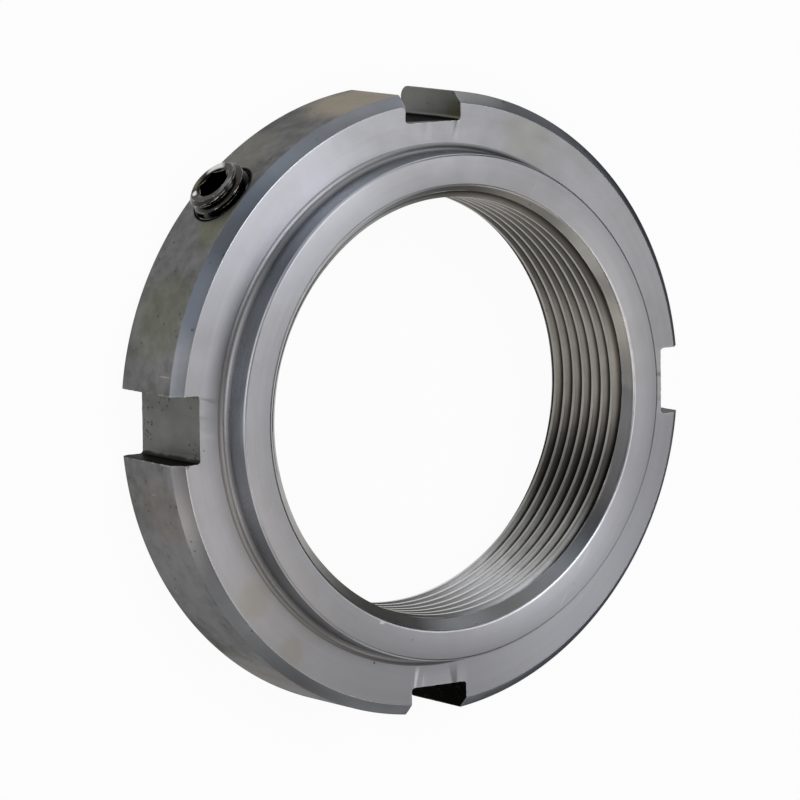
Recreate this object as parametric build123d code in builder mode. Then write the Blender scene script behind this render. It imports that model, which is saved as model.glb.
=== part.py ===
"""Bearing lock nut: a turned nut with a collar, four spanner slots and a radial clamping screw.

The nut lies on its back face. +Z is its axis and points at the collar, the origin is on the axis
in the plane of the back face, and the spanner slots lie on the X and Y axes. Millimetres.
"""
import math
import os

from build123d import *

# Nut blank
outer_diameter = 79.0
thickness = 17.2
front_chamfer_width = 1.4
front_chamfer_height = 1.4
back_edge_radius = 1.5

# Collar that bears on the inner ring
collar_face_width = 3.9
collar_height = 4.3
collar_foot_radius = 1.1
collar_edge_break = 0.3

# Metric fine thread in the bore, which is modelled at the crests of the thread
thread_diameter = 55.0
thread_pitch = 2.0
bore_mouth_allowance = 0.6

# Spanner slots
slot_count = 4
slot_width = 8.5
slot_depth = 3.8
slot_corner_radius = 0.45

# Radial clamping screw, hexagon socket and flat point
screw_angle = 134.5
screw_height = 6.6
screw_diameter = 8.0
screw_pitch = 1.25
screw_protrusion = 2.1
screw_end_chamfer = 0.7
screw_point_chamfer = 1.25
socket_across_flats = 4.0
socket_depth = 4.5
socket_drill_angle = 118.0

# Radial hole and the soft pad under the screw
pad_diameter = 6.5
pad_length = 5.18
pad_chamfer = 0.4
hole_countersink = 0.2
thread_run_out = 0.5
screw_clearance = 0.05
pad_clearance = 0.05

# An internal thread of the metric profile is 5/8 of the sharp triangle deep
thread_depth = 5 / 8 * math.sqrt(3) / 2 * thread_pitch
outer_radius = outer_diameter / 2
bore_radius = thread_diameter / 2 - thread_depth
flange_height = thickness - collar_height

# Each mouth of the bore is a 45-degree chamfer that opens a little wider than the thread's roots
mouth_radius = thread_diameter / 2 + bore_mouth_allowance
mouth_depth = mouth_radius - bore_radius
collar_radius = mouth_radius + collar_face_width

# Levels along the radial hole, measured inwards from the outer diameter: the pad reaches from the
# bore's crests to the screw's point, and the screw fills the rest of the wall. One turn of the
# screw drives the pad in by one pitch, and the tapped length leaves room for that
screw_point_depth = outer_radius - bore_radius - pad_length
screw_length = screw_point_depth + screw_protrusion
tapped_depth = screw_point_depth + screw_pitch + thread_run_out

# Every feature of the clamping device is drawn on a plane at the outer diameter that faces outwards
outward = Vector(1, 0, 0).rotate(Axis.Z, screw_angle)
hole_plane = Plane(
    origin=outward * outer_radius + Vector(0, 0, screw_height), x_dir=(0, 0, 1), z_dir=outward
)


def corner(sketch, radius, height):
    """Return the sketch's vertex that lies nearest to a point of the section."""
    return sketch.vertices().sort_by_distance(Vector(radius, height))[0]


# The nut is turned: half its section, with the bore on the left and the edge on the right
with BuildPart() as nut_body:
    with BuildSketch(Plane.XZ) as section:
        with BuildLine():
            Polyline(
                (mouth_radius, 0),
                (outer_radius, 0),
                (outer_radius, flange_height - front_chamfer_height),
                (outer_radius - front_chamfer_width, flange_height),
                (collar_radius, flange_height),
                (collar_radius, thickness),
                (mouth_radius, thickness),
                (bore_radius, thickness - mouth_depth),
                (bore_radius, mouth_depth),
                close=True,
            )
        make_face()
        fillet(corner(section, outer_radius, 0), back_edge_radius)
        fillet(corner(section, collar_radius, flange_height), collar_foot_radius)
        chamfer(corner(section, collar_radius, thickness), collar_edge_break)
    revolve(axis=Axis.Z)

    # Four slots for a hook spanner run the whole height of the flange
    with BuildSketch(Plane.XY):
        with PolarLocations(outer_radius, slot_count):
            RectangleRounded(2 * slot_depth, slot_width, slot_corner_radius)
    extrude(amount=thickness, mode=Mode.SUBTRACT)

    # The stepped radial hole: tapped for the screw, then a plain guide for the pad
    with Locations(hole_plane):
        CounterBoreHole(
            radius=pad_diameter / 2 + pad_clearance,
            counter_bore_radius=screw_diameter / 2 + screw_clearance,
            counter_bore_depth=tapped_depth,
            depth=outer_radius - bore_radius / 2,
        )

    # Countersunk mouth of the radial hole
    with BuildSketch(hole_plane):
        Circle(screw_diameter / 2 + screw_clearance + hole_countersink)
    extrude(amount=-hole_countersink, taper=45, mode=Mode.SUBTRACT)

# The set screw: threaded over its whole length, with a socket in its outer end
with BuildPart() as set_screw:
    with BuildSketch(hole_plane.offset(screw_protrusion)):
        Circle(screw_diameter / 2)
    extrude(amount=-screw_length)
    screw_ends = set_screw.edges().filter_by(GeomType.CIRCLE).sort_by(Axis(hole_plane.origin, outward))
    chamfer(screw_ends[-1], screw_end_chamfer)
    chamfer(screw_ends[0], screw_point_chamfer)
    with BuildSketch(hole_plane.offset(screw_protrusion)):
        RegularPolygon(socket_across_flats / 2, 6, major_radius=False)
    extrude(amount=-socket_depth, mode=Mode.SUBTRACT)

    # The drill that cleared the socket leaves a cone below the hexagon
    with Locations(-hole_plane.offset(screw_protrusion - socket_depth)):
        Cone(
            bottom_radius=socket_across_flats / 2,
            top_radius=0,
            height=socket_across_flats / 2 / math.tan(math.radians(socket_drill_angle / 2)),
            align=(Align.CENTER, Align.CENTER, Align.MIN),
            mode=Mode.SUBTRACT,
        )

# The soft pad: a short plug whose tip is hollowed to the bore, so that it lies flush with the crests
with BuildPart() as clamping_pad:
    with BuildSketch(hole_plane.offset(-screw_point_depth)):
        Circle(pad_diameter / 2)
    extrude(amount=-pad_length * 2)
    chamfer(clamping_pad.faces().sort_by(Axis(hole_plane.origin, outward))[-1].edges(), pad_chamfer)
    Cylinder(
        bore_radius,
        thickness,
        align=(Align.CENTER, Align.CENTER, Align.MIN),
        mode=Mode.SUBTRACT,
    )

nut_body.part.label = "nut_body"
set_screw.part.label = "set_screw"
clamping_pad.part.label = "clamping_pad"

os.makedirs("parts", exist_ok=True)
export_step(nut_body.part, "parts/nut_body.step")
export_step(set_screw.part, "parts/set_screw.step")
export_step(clamping_pad.part, "parts/clamping_pad.step")
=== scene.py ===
"""Looks of the bearing lock nut: a turned steel nut, its black set screw and its brass pad."""
import logging
import math
from collections.abc import Callable, Iterable
from dataclasses import dataclass, field
from enum import Enum
from functools import partialmethod
from itertools import repeat

import bmesh
import bpy
from mathutils import Matrix, Vector, noise


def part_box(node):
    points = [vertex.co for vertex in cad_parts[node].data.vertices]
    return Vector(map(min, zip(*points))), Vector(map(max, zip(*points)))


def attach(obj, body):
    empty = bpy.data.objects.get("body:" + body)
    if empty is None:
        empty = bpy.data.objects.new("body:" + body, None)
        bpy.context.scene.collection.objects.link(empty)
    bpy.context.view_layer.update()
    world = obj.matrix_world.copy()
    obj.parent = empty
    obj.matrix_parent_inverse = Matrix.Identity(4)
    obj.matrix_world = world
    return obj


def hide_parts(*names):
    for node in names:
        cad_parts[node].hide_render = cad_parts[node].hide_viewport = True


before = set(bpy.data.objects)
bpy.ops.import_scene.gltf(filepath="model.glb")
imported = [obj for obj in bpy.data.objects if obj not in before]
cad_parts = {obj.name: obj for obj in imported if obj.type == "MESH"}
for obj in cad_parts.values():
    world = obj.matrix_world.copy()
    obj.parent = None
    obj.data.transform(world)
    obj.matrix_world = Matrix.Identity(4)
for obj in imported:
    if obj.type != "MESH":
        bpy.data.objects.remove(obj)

LOG = logging.getLogger("lock_nut")
PHOTO_PIXELS = 800
MM = 0.001

# How near two points are to be one, how near a facet lies to the mouth's cone to belong to it, how
# square a face stands to be shaded flat, and the angle below which an edge is shaded smooth
WELD = 2e-6
CONE_TOLERANCE = 0.03 * MM
SQUARE_ON = 0.999999
SMOOTH_BELOW = math.radians(32.0)

# How many chords make up a rounded corner, and how many sides a hexagon has
ROUND_CHORDS = 4
HEXAGON = 6

# The colour inputs of Blender's mix node, and the kinds of its node trees
MIX_FIRST, MIX_SECOND = 6, 7
GEOMETRY_TREE, SHADER_TREE = "GeometryNodeTree", "ShaderNodeTree"

# What all finishes share: the turn that puts the highlight across the tool's rings, the dark of a
# pit, the grain's scale, the relief's depth, and how far stains and wear change the roughness
ACROSS_THE_RINGS = 0.25
PIT_COLOUR = (0.02, 0.02, 0.02)
PIT_RELIEF = -0.8
GRAIN_SCALE = 5000.0
RELIEF_STRENGTH = 0.5
RELIEF_DEPTH = 0.00002
STAIN_DULLS, WEAR_POLISHES, SMOOTHEST = 0.12, -0.1, 0.08

# Between which levels a noise fades in: the rings' streaks, the breaks in the bright edges of wear and
# painted glint with the share of them that is left there, the scratches and the patches that they lie in
STREAKS_FADE = (0.3, 0.7)
BREAKS_FADE = (0.42, 0.6)
LEAST_WEAR_AND_GLINT = 0.05
SCRATCHES_FADE = (0.74, 0.79)
PATCHES_FADE = (0.5, 0.6)

Colour = tuple[float, float, float]
Point = tuple[float, float]
Band = tuple[float, float, int]
Socket = bpy.types.NodeSocket
Tree = bpy.types.NodeTree
Material = bpy.types.Material
Mesh = bpy.types.Mesh
Piece = bpy.types.Object
Builder = bmesh.types.BMesh
Vert = bmesh.types.BMVert


class Zone(Enum):
    """The bands of the nut's body, each with the name of its finish."""

    FACE = "turned_face"
    EDGE = "dull_edge"
    CHAMFER = "turned_chamfer"
    COLLAR = "turned_collar"
    FOOT = "turned_foot"
    THREAD = "cut_thread"
    MOUTH = "turned_mouth"
    RIM = "collar_rim"
    # The lips carry a lighter copy of the steel, a painted highlight along them
    LIP = "bright_lip"

    @property
    def slot(self) -> int:
        """The finish's place in the body's list of materials."""
        return list(Zone).index(self)


class Handed(Enum):
    """Where a thread is cut: its depth in sharp triangles, and its crest and root flats in pitches."""

    INTERNAL = (5 / 8, 1 / 4, 1 / 8)
    EXTERNAL = (17 / 24, 1 / 8, 1 / 4)


class Flow:
    """A value that runs through a node tree. A sum done with it adds a math node."""

    def __init__(self, sketch: "TreeSketch", socket: Socket) -> None:
        """Keep the sketch of the tree and the socket that gives the value."""
        self.sketch = sketch
        self.socket = socket

    def reckon(self, operation: str, other: "Value", swapped: bool = False) -> "Flow":
        """Add a math node for this value and another one, which comes first if swapped."""
        return self.sketch.math(operation, *((other, self) if swapped else (self, other)))

    __add__ = __radd__ = partialmethod(reckon, "ADD")
    __mul__ = __rmul__ = partialmethod(reckon, "MULTIPLY")
    __sub__ = partialmethod(reckon, "SUBTRACT")
    __rsub__ = partialmethod(reckon, "SUBTRACT", swapped=True)
    __truediv__ = partialmethod(reckon, "DIVIDE")


Value = Flow | float | int | tuple | Vector | list[Flow]
Feeds = dict[str | int, Value]


class TreeSketch:
    """Adds, feeds and links the nodes of one tree."""

    def __init__(self, tree: Tree) -> None:
        """Keep the material's, group's or geometry's tree to draw in."""
        self.tree = tree

    def feed(self, socket: Socket, value: Value) -> None:
        """Link values into an input, or set a plain value on it.

        Args:
            socket: The input to feed.
            value: A flow or a list of flows to link, or a number, a vector or a colour.
        """
        for item in value if isinstance(value, list) else [value]:
            if isinstance(item, Flow):
                self.tree.links.new(item.socket, socket)
            else:
                socket.default_value = (*item, 1.0) if socket.type == "RGBA" else item

    def add(self, kind: str, feeds: Feeds | None = None, **settings: object) -> dict[str, Flow]:
        """Add a node.

        Args:
            kind: The node's type name.
            feeds: What goes into its inputs, by their names or numbers.
            settings: Attributes to set on it.

        Returns:
            The outputs in use, by name.
        """
        node = self.tree.nodes.new(kind)
        for name, setting in settings.items():
            setattr(node, name, setting)
        for label, value in (feeds or {}).items():
            self.feed(node.inputs[label], value)
        return {socket.name: Flow(self, socket) for socket in node.outputs if socket.enabled}

    def run(self, kind: str, feeds: Feeds | None = None, **settings: object) -> Flow:
        """Add a node in the same way and return its first output."""
        return next(iter(self.add(kind, feeds, **settings).values()))

    def math(self, operation: str, *values: Value) -> Flow:
        """Add a math node with its inputs in order and return its result."""
        return self.run("ShaderNodeMath", dict(enumerate(values)), operation=operation)

    def vector_math(self, operation: str, *values: Value) -> Flow:
        """Add a vector math node with its inputs in order and return its result."""
        return self.run("ShaderNodeVectorMath", dict(enumerate(values)), operation=operation)

    def vector(self, x: Value = 0.0, y: Value = 0.0, z: Value = 0.0) -> Flow:
        """Combine three numbers into a vector."""
        return self.run("ShaderNodeCombineXYZ", dict(enumerate((x, y, z))))

    def split(self, vector: Value) -> Iterable[Flow]:
        """Separate a vector into its three numbers."""
        return self.add("ShaderNodeSeparateXYZ", {0: vector}).values()

    def remap(self, value: Value, *ranges: Value) -> Flow:
        """Map a range onto 0 to 1 or onto a second range, smoothly and clamped, by their ends in order."""
        feeds = dict(enumerate((value, *ranges)))
        return self.run("ShaderNodeMapRange", feeds, interpolation_type="SMOOTHSTEP")

    def mix(self, factor: Value, first: Value, second: Value, blend: str = "MIX") -> Flow:
        """Mix two colours, with the factor as the share of the second one."""
        feeds = {0: factor, MIX_FIRST: first, MIX_SECOND: second}
        return self.run("ShaderNodeMix", feeds, data_type="RGBA", blend_type=blend)

    def where(self) -> Flow:
        """The place on the surface, in the part's own frame."""
        return self.add("ShaderNodeTexCoord")["Object"]

    def off_axis(self, where: Flow) -> Flow:
        """The distance of a place from the nut's axis."""
        return self.vector_math("LENGTH", self.vector_math("MULTIPLY", where, (1.0, 1.0, 0.0)))

    def noise(self, where: Flow, scale: Value, detail: float = 2.0, roughness: float = 0.5) -> Flow:
        """Add a noise texture, about 0.5 on average, with a scale per metre."""
        feeds = {"Vector": where, "Scale": scale, "Detail": detail, "Roughness": roughness}
        return self.run("ShaderNodeTexNoise", feeds)

    def give(self, **outputs: Flow) -> Tree:
        """Send flows to the group's outputs of the same names and return the finished tree."""
        self.add("NodeGroupOutput", outputs)
        return self.tree


SOCKET_TYPES = {
    float: "NodeSocketFloat",
    int: "NodeSocketInt",
    "geometry": "NodeSocketGeometry",
    "object": "NodeSocketObject",
    "material": "NodeSocketMaterial",
    "vector": "NodeSocketVector",
}


def new_group(
    name: str, kind: str, outputs: str, inputs: dict[str, object]
) -> tuple[TreeSketch, dict[str, Flow]]:
    """Make an empty node group with named sockets.

    Args:
        name: The group's name.
        kind: The kind of its tree.
        outputs: The outputs' names, with a space between them.
        inputs: Each input's name with its default value, or with the name of its kind.

    Returns:
        The sketch to draw in and the group's inputs by name.
    """
    tree = bpy.data.node_groups.new(name, kind)
    for label, value in inputs.items():
        key = value if isinstance(value, str) else type(value)
        socket = tree.interface.new_socket(name=label, in_out="INPUT", socket_type=SOCKET_TYPES[key])
        if not isinstance(value, str):
            socket.default_value = value
    given_out = SOCKET_TYPES["geometry" if kind == GEOMETRY_TREE else float]
    for label in outputs.split():
        tree.interface.new_socket(name=label, in_out="OUTPUT", socket_type=given_out)
    sketch = TreeSketch(tree)
    return sketch, sketch.add("NodeGroupInput")


def evaluated(holder: Piece, name: str) -> Mesh:
    """Take the finished mesh of an object with live modifiers, and remove the object.

    Args:
        holder: The object.
        name: The finished mesh's name.

    Returns:
        The mesh.
    """
    depsgraph = bpy.context.evaluated_depsgraph_get()
    mesh = bpy.data.meshes.new_from_object(
        holder.evaluated_get(depsgraph), preserve_all_data_layers=True, depsgraph=depsgraph
    )
    bpy.data.objects.remove(holder)
    mesh.name = name
    return mesh


def show(name: str, data: bpy.types.ID) -> Piece:
    """Put data into the scene as an object at the origin.

    Args:
        name: The object's name.
        data: A mesh, a lamp or a camera.

    Returns:
        The object.
    """
    piece = bpy.data.objects.new(name, data)
    bpy.context.scene.collection.objects.link(piece)
    return piece


def grow(name: str, tree: Tree, values: dict[str, object], start: Mesh | None = None) -> Mesh:
    """Run a geometry tree and return what it makes as a plain mesh.

    Args:
        name: The mesh's name.
        tree: The geometry tree.
        values: The tree's inputs by name.
        start: The mesh that the tree starts from, if it needs one.

    Returns:
        The finished mesh.
    """
    holder = show(name, start or bpy.data.meshes.new(name))
    modifier = holder.modifiers.new("form", "NODES")
    modifier.node_group = tree
    for item in tree.interface.items_tree:
        if item.in_out == "INPUT" and item.name in values:
            modifier[item.identifier] = values[item.name]
    return evaluated(holder, name)


def carve(name: str, mesh: Mesh, cutter: Mesh) -> Mesh:
    """Cut one closed mesh out of another.

    Args:
        name: The result's name.
        mesh: The mesh to cut.
        cutter: The mesh that is taken away.

    Returns:
        The finished mesh.
    """
    holder = show(name, mesh)
    tool = bpy.data.objects.new(name + "_cutter", cutter)
    modifier = holder.modifiers.new("cut", "BOOLEAN")
    modifier.operation = "DIFFERENCE"
    modifier.solver = "EXACT"
    modifier.object = tool
    result = evaluated(holder, name)
    bpy.data.objects.remove(tool)
    return result


def threaded_wall_tree() -> Tree:
    """Draw the geometry tree of a threaded wall: a grid whose rows climb one pitch a turn.

    Returns:
        The tree, which suits a tapped bore as well as a screw's shank.
    """
    sketch, given = new_group("threaded_wall", GEOMETRY_TREE, "Geometry", {
        "Crest Radius": 0.024, "Root Radius": 0.025, "Pitch": 0.002, "Crest Flat": 0.25, "Root Flat": 0.125,
        "Corner Softness": 0.2, "Bottom": 0.0, "Top": 0.015, "Bottom Mouth Radius": 0.025,
        "Top Mouth Radius": 0.025, "Mouth Height": 0.001, "Turns": 9, "Columns": 64, "Rows Per Turn": 16,
        "Finish": "material",
    })
    crest, bottom, top, pitch = (given[name] for name in ("Crest Radius", "Bottom", "Top", "Pitch"))
    grid = sketch.run("GeometryNodeMeshGrid", {
        "Size X": 1.0, "Size Y": 1.0,
        "Vertices X": given["Columns"] + 1.0,
        "Vertices Y": given["Turns"] * given["Rows Per Turn"] + 1.0,
    })

    # The grid's own place gives how far round and how far up a point is, each from 0 to 1
    across, upward, _ = sketch.split(sketch.run("GeometryNodeInputPosition"))
    around = across + 0.5
    climb = (upward + 0.5) * given["Turns"] + around - 1.0
    height = sketch.math("MINIMUM", sketch.math("MAXIMUM", climb * pitch + bottom, bottom), top)

    # The groove's depth, from 0 at a crest to 1 at a root, with its corners eased
    phase = sketch.math("FRACT", (height - bottom) / pitch - around)
    crest_edge = 0.5 - given["Crest Flat"] * 0.5
    flank = (crest_edge - sketch.math("ABSOLUTE", phase - 0.5)) / (crest_edge - given["Root Flat"] * 0.5)
    groove = sketch.math("SMOOTH_MAX", flank, 0.0, given["Corner Softness"])
    groove = sketch.math("SMOOTH_MIN", groove, 1.0, given["Corner Softness"])

    # A cone at each mouth cuts the thread away
    depth = given["Root Radius"] - crest
    for mouth, level in (("Bottom Mouth Radius", bottom), ("Top Mouth Radius", top)):
        left = 1.0 - sketch.math("ABSOLUTE", height - level) / given["Mouth Height"]
        groove = sketch.math("MAXIMUM", groove, (given[mouth] - crest) / depth * left)

    radius = groove * depth + crest
    angle = around * math.tau
    spot = sketch.vector(radius * sketch.math("COSINE", angle), radius * sketch.math("SINE", angle), height)
    wall = sketch.run("GeometryNodeSetPosition", {"Geometry": grid, "Position": spot})
    wall = sketch.run("GeometryNodeMergeByDistance", {"Geometry": wall, "Distance": WELD})
    wall = sketch.run("GeometryNodeRealizeInstances", {"Geometry": wall})
    return sketch.give(
        Geometry=sketch.run("GeometryNodeSetMaterial", {"Geometry": wall, "Material": given["Finish"]})
    )


def polar_cut_tree() -> Tree:
    """Draw the geometry tree that cuts a ring of like slots, and one hole, out of a body.

    Returns:
        The tree.
    """
    sketch, given = new_group("polar_cut", GEOMETRY_TREE, "Geometry", {
        "Geometry": "geometry", "Slot Cutter": "object", "Hole Cutter": "object", "Count": 4,
        "Radius": 0.035,
    })
    ring = sketch.run("GeometryNodeMeshCircle", {"Vertices": given["Count"], "Radius": given["Radius"]})
    turn = sketch.run("GeometryNodeInputIndex") * sketch.math("DIVIDE", math.tau, given["Count"])
    infos = (
        sketch.add("GeometryNodeObjectInfo", {"Object": given[name]}, transform_space="ORIGINAL")
        for name in ("Slot Cutter", "Hole Cutter")
    )
    slot, hole = (info["Geometry"] for info in infos)
    feeds = {"Points": ring, "Instance": slot, "Rotation": sketch.vector(z=turn)}
    slots = sketch.run("GeometryNodeInstanceOnPoints", feeds)
    slots = sketch.run("GeometryNodeRealizeInstances", {"Geometry": slots})
    return sketch.give(Geometry=sketch.run(
        "GeometryNodeMeshBoolean",
        {"Mesh 1": given["Geometry"], "Mesh 2": [slots, hole]},
        operation="DIFFERENCE",
        solver="EXACT",
    ))


@dataclass(frozen=True)
class ThreadForm:
    """A metric thread: its pitch, the radii of its crests and roots, and where it starts."""

    handed: Handed
    nominal_radius: float
    pitch: float
    start: float = 0.0
    softness: float = 0.2

    @property
    def depth(self) -> float:
        """The radial depth of the thread."""
        return self.handed.value[0] * math.sqrt(3) / 2 * self.pitch

    @property
    def crest_radius(self) -> float:
        """The radius over the crests."""
        return self.nominal_radius - (self.depth if self.handed is Handed.INTERNAL else 0.0)

    @property
    def root_radius(self) -> float:
        """The radius in the roots."""
        return self.nominal_radius - (0.0 if self.handed is Handed.INTERNAL else self.depth)

    def radius_at(self, angle: float, rise: float) -> float:
        """The wall's radius at an angle and a height above the thread's start.

        Args:
            angle: The angle round the axis, in radians.
            rise: The height above the bottom of the wall, in metres.

        Returns:
            The radius, in metres, by the same rule as the geometry tree.
        """
        _, crest_flat, root_flat = self.handed.value
        phase = (rise / self.pitch - (angle - self.start) / math.tau) % 1.0
        crest_edge = 0.5 - crest_flat / 2
        flank = (crest_edge - abs(phase - 0.5)) / (crest_edge - root_flat / 2)
        lift = max(self.softness - abs(flank), 0.0) / self.softness
        groove = max(flank, 0.0) + lift**3 * self.softness / 6
        drop = max(self.softness - abs(groove - 1.0), 0.0) / self.softness
        groove = min(groove, 1.0) - drop**3 * self.softness / 6
        return self.crest_radius + (self.root_radius - self.crest_radius) * groove

    def inputs(self, bottom: float, top: float, columns: int, rows: int) -> dict[str, object]:
        """The geometry tree's inputs for a wall of this thread.

        Args:
            bottom: The wall's lower end.
            top: The wall's upper end.
            columns: How many facets go round it.
            rows: How many rows make up one pitch.

        Returns:
            The inputs by name, without the mouths and the finish.
        """
        _, crest_flat, root_flat = self.handed.value
        return {
            "Crest Radius": self.crest_radius,
            "Root Radius": self.root_radius,
            "Pitch": self.pitch,
            "Crest Flat": crest_flat,
            "Root Flat": root_flat,
            "Corner Softness": self.softness,
            "Bottom": bottom,
            "Top": top,
            "Turns": math.ceil((top - bottom) / self.pitch) + 1,
            "Columns": columns,
            "Rows Per Turn": rows,
        }


def arc(centre: Point, radius: float, start: float, end: float, steps: int) -> list[Point]:
    """Points of an arc, from its start to its end angle in degrees, with a number of chords."""
    angles = (math.radians(start + (end - start) * step / steps) for step in range(steps + 1))
    return [(centre[0] + radius * math.cos(a), centre[1] + radius * math.sin(a)) for a in angles]


def rounded_corner(before: Point, corner: Point, after: Point, radius: float) -> list[Point]:
    """Round one corner of an outline.

    Args:
        before: A point on the run into the corner.
        corner: The sharp corner.
        after: A point on the run out of it.
        radius: The round's radius.

    Returns:
        The points of the round.
    """
    middle = Vector(corner)
    into = (middle - Vector(before)).normalized()
    out_of = (Vector(after) - middle).normalized()
    reach = radius * math.tan(into.angle(out_of) / 2)
    start = middle - into * reach
    end = middle + out_of * reach
    shares = (step / ROUND_CHORDS for step in range(ROUND_CHORDS + 1))
    return [tuple(start.lerp(middle, share).lerp(middle.lerp(end, share), share)) for share in shares]


def loft(builder: Builder, rings: list[list[Vert]], finishes: Iterable[int] = repeat(0)) -> None:
    """Join rings of points with bands of faces.

    Args:
        builder: The mesh to add the faces to.
        rings: The rings in order, each with as many points.
        finishes: The number of each band's finish.
    """
    for lower, upper, finish in zip(rings, rings[1:], finishes):
        for index in range(len(lower)):
            after = (index + 1) % len(lower)
            face = builder.faces.new((lower[index], lower[after], upper[after], upper[index]))
            face.material_index = finish


def turn_profile(builder: Builder, bands: list[Band], columns: int) -> list[list[Vert]]:
    """Turn a section round the Z axis.

    Args:
        builder: The mesh to add the faces to.
        bands: Radius, height and the finish of the band that starts at each point.
        columns: How many facets go round.

    Returns:
        The rings of points.
    """
    angles = [math.tau * column / columns for column in range(columns)]
    rings = [
        [builder.verts.new((radius * math.cos(a), radius * math.sin(a), height)) for a in angles]
        for radius, height, _ in bands
    ]
    loft(builder, rings, (finish for _, _, finish in bands))
    return rings


def turned_plug(levels: Iterable[Point], columns: int) -> Builder:
    """Turn a closed plug.

    Args:
        levels: The radii and heights of its outline.
        columns: How many facets go round.

    Returns:
        What builds the plug's mesh.
    """
    builder = bmesh.new()
    rings = turn_profile(builder, [(radius, height, 0) for radius, height in levels], columns)
    for end in (0, -1):
        builder.faces.new(rings[end])
    return builder


def seal(builder: Builder) -> None:
    """Merge doubles and point every face outwards.

    Args:
        builder: The mesh to seal.
    """
    bmesh.ops.remove_doubles(builder, verts=builder.verts, dist=WELD)
    bmesh.ops.dissolve_degenerate(builder, edges=builder.edges, dist=WELD / 4)
    bmesh.ops.recalc_face_normals(builder, faces=builder.faces)


def as_mesh(name: str, builder: Builder, finishes: Iterable[Material]) -> Mesh:
    """Write a mesh out and free what built it.

    Args:
        name: The mesh's name.
        builder: What built the mesh.
        finishes: Its materials, in the order of their numbers.

    Returns:
        The mesh.
    """
    mesh = bpy.data.meshes.new(name)
    builder.to_mesh(mesh)
    builder.free()
    for finish in finishes:
        mesh.materials.append(finish)
    return mesh


def place(name: str, mesh: Mesh) -> Piece:
    """Shade a mesh and put it in the scene.

    Args:
        name: The object's name.
        mesh: Its mesh, in the part's own frame.

    Returns:
        The object.
    """
    mesh.shade_smooth()
    for polygon in mesh.polygons:
        if max(abs(part) for part in polygon.normal) > SQUARE_ON:
            polygon.use_smooth = False
    mesh.set_sharp_from_angle(angle=SMOOTH_BELOW)
    return show(name, mesh)


def turning_marks_group() -> Tree:
    """Fine rings left by the turning tool, as a function of radius and height, with slow drift.

    Returns:
        The group's tree.
    """
    sketch, given = new_group("turning_marks", SHADER_TREE, "Height Streaks", {
        "Rings Per Metre": 9000.0, "Drift": 0.3, "Height Share": 1.31, "Slow Share": 0.12,
        "Slow Drift": 0.9,
    })
    where = sketch.where()
    x, y, z = sketch.split(where)
    rings = (z * given["Height Share"] + sketch.off_axis(where)) * given["Rings Per Metre"]
    angle = sketch.math("ARCTAN2", y, x)
    bend, sway = sketch.math("COSINE", angle), sketch.math("SINE", angle)
    drift, slow_drift = given["Drift"], given["Slow Drift"]
    fine = sketch.vector(rings, bend * drift, sway * drift)
    slow = sketch.vector(rings * given["Slow Share"], bend * slow_drift, sway * slow_drift)
    return sketch.give(Height=sketch.noise(fine, 1.0, 1.0, 0.4), Streaks=sketch.noise(slow, 1.0, 3.0, 0.6))


def mottle_group() -> Tree:
    """Uneven tone: broad clouds with finer blotches in them.

    Returns:
        The group's tree.
    """
    sketch, given = new_group("mottle", SHADER_TREE, "Mask", {
        "Cloud Scale": 60.0, "Blotch Scale": 420.0, "Blotch Share": 0.4, "Low": 0.35, "High": 0.7,
    })
    where = sketch.where()
    clouds = sketch.noise(where, given["Cloud Scale"], 3.0, 0.55)
    blotches = sketch.noise(where, given["Blotch Scale"], 4.0, 0.6)
    blend = clouds * (1.0 - given["Blotch Share"]) + blotches * given["Blotch Share"]
    return sketch.give(Mask=sketch.remap(blend, given["Low"], given["High"]))


def pits_group() -> Tree:
    """Small ragged pits that lie in clusters.

    Returns:
        The group's tree.
    """
    sketch, given = new_group("pits", SHADER_TREE, "Mask", {
        "Scale": 900.0, "Size": 0.16, "Spread": 0.6, "Cluster Scale": 260.0, "Cluster Fade": 0.05,
        "Warp Scale": 1.7, "Warp": 0.0007,
    })
    where = sketch.where()
    feeds = {"Vector": where, "Scale": given["Scale"] * given["Warp Scale"]}
    warp = sketch.add("ShaderNodeTexNoise", feeds)
    ragged = sketch.vector_math("MULTIPLY_ADD", warp["Color"], given["Warp"], where)
    away = sketch.run("ShaderNodeTexVoronoi", {"Vector": ragged, "Scale": given["Scale"]}, feature="F1")
    spots = 1.0 - sketch.remap(away, given["Size"] * 0.5, given["Size"])
    spread = given["Spread"]
    clusters = sketch.noise(where, given["Cluster Scale"], 1.0)
    return sketch.give(Mask=spots * sketch.remap(clusters, spread, spread + given["Cluster Fade"]))


def edge_wear_and_glint_group() -> Tree:
    """Bright edges, partly wear and partly a painted glint, found by how far the rounded normal leans from
    the true one.

    Returns:
        The group's tree.
    """
    sketch, given = new_group("edge_wear_and_glint", SHADER_TREE, "Mask", {
        "Width": 0.0003, "Breaks": 900.0, "Unmarked": 0.995, "Marked": 0.93,
    })
    rounded = sketch.run("ShaderNodeBevel", {"Radius": given["Width"]}, samples=6)
    lean = sketch.vector_math("DOT_PRODUCT", rounded, sketch.add("ShaderNodeNewGeometry")["Normal"])
    breaks = sketch.noise(sketch.where(), given["Breaks"], 3.0, 0.6)
    broken = sketch.remap(breaks, *BREAKS_FADE, LEAST_WEAR_AND_GLINT, 1.0)
    return sketch.give(Mask=sketch.remap(lean, given["Unmarked"], given["Marked"]) * broken)


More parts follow.
